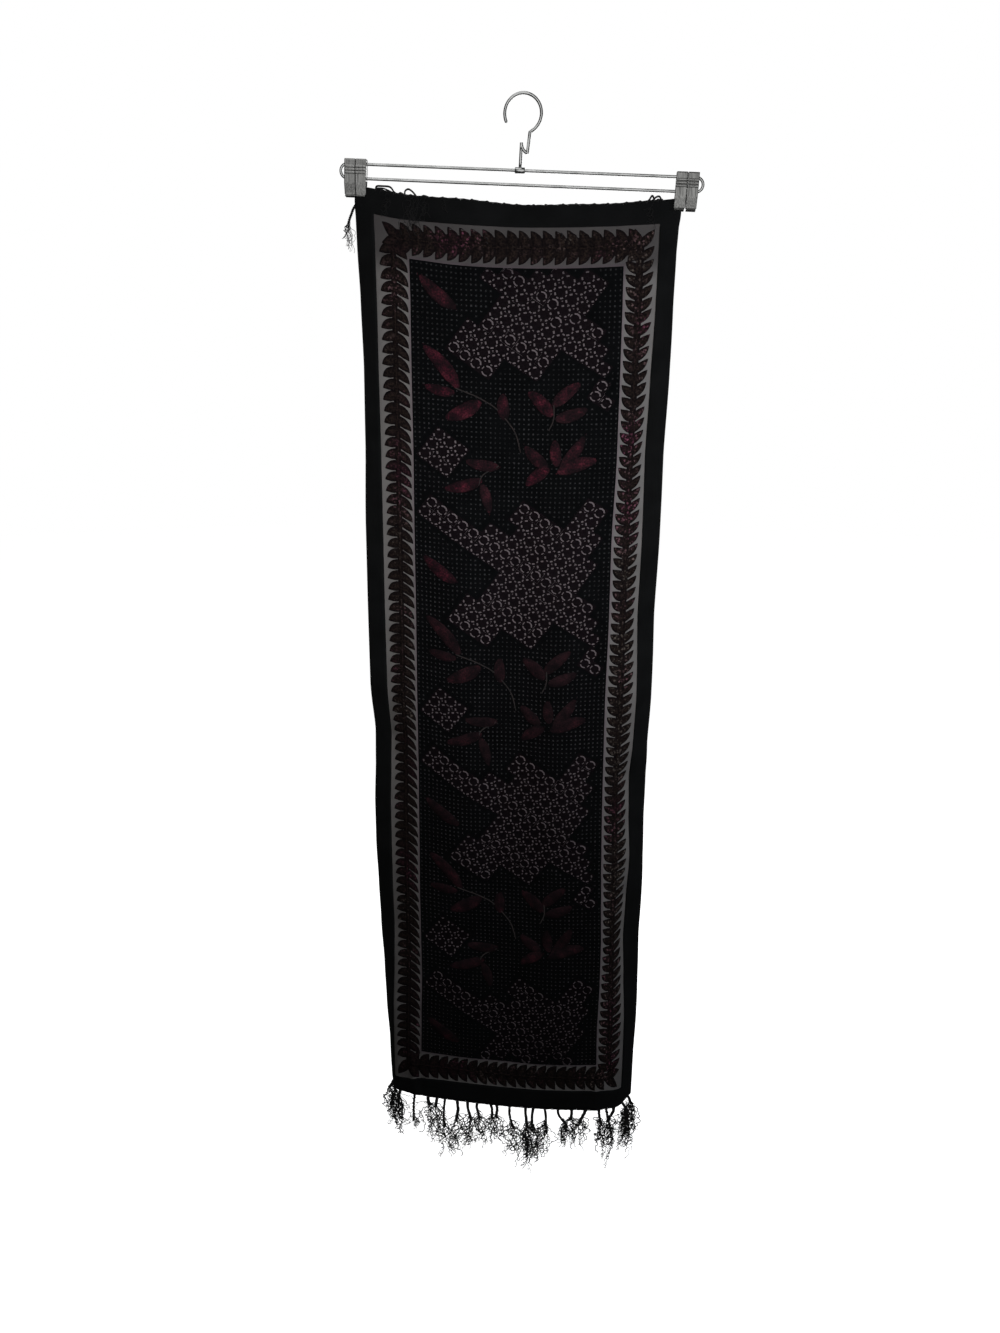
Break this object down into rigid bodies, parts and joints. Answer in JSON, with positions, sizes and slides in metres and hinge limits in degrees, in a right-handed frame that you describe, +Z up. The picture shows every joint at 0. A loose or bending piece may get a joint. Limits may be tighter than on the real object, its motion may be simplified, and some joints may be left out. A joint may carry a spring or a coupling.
{
  "type": "flocked scarf on a double-bar clip hanger",
  "caption": "Long rectangular scarf with tasselled ends, hung flat by its top corners from a metal clip hanger with two bars and a hook.",
  "frame": {"origin": "the top of the hook's inside, where it bears on its rail", "axes": "+Z up, the cloth's front faces -Y, +X to the right as seen from the front"},
  "size_m": [0.4425, 0.056, 1.4908],
  "materials": {
    "pile_cloth": "black flock pile with leaf bands, a sheer ground and dark red satin leaves",
    "fringe_yarn": "thin black twisted yarn, frizzy below the knots",
    "chrome_wire": "bright plated wire",
    "clip_steel": "plated spring steel with pressed ribs"
  },
  "bodies": {
    "root": {"scarf_cloth": "pile_cloth", "bottom_fringe": "fringe_yarn", "top_fringe": "fringe_yarn", "hanger_upper_bar": "chrome_wire", "hanger_lower_bar": "chrome_wire", "hanger_left_end": "chrome_wire", "hanger_right_end": "chrome_wire", "hook": "chrome_wire", "clip_left_outer_saddle": "clip_steel", "clip_left_outer_front_jaw": "clip_steel", "clip_left_outer_back_jaw": "clip_steel", "clip_left_inner_saddle": "clip_steel", "clip_left_inner_front_jaw": "clip_steel", "clip_left_inner_back_jaw": "clip_steel", "clip_right_inner_saddle": "clip_steel", "clip_right_inner_front_jaw": "clip_steel", "clip_right_inner_back_jaw": "clip_steel", "clip_right_outer_saddle": "clip_steel", "clip_right_outer_front_jaw": "clip_steel", "clip_right_outer_back_jaw": "clip_steel"}
  },
  "joints": []
}
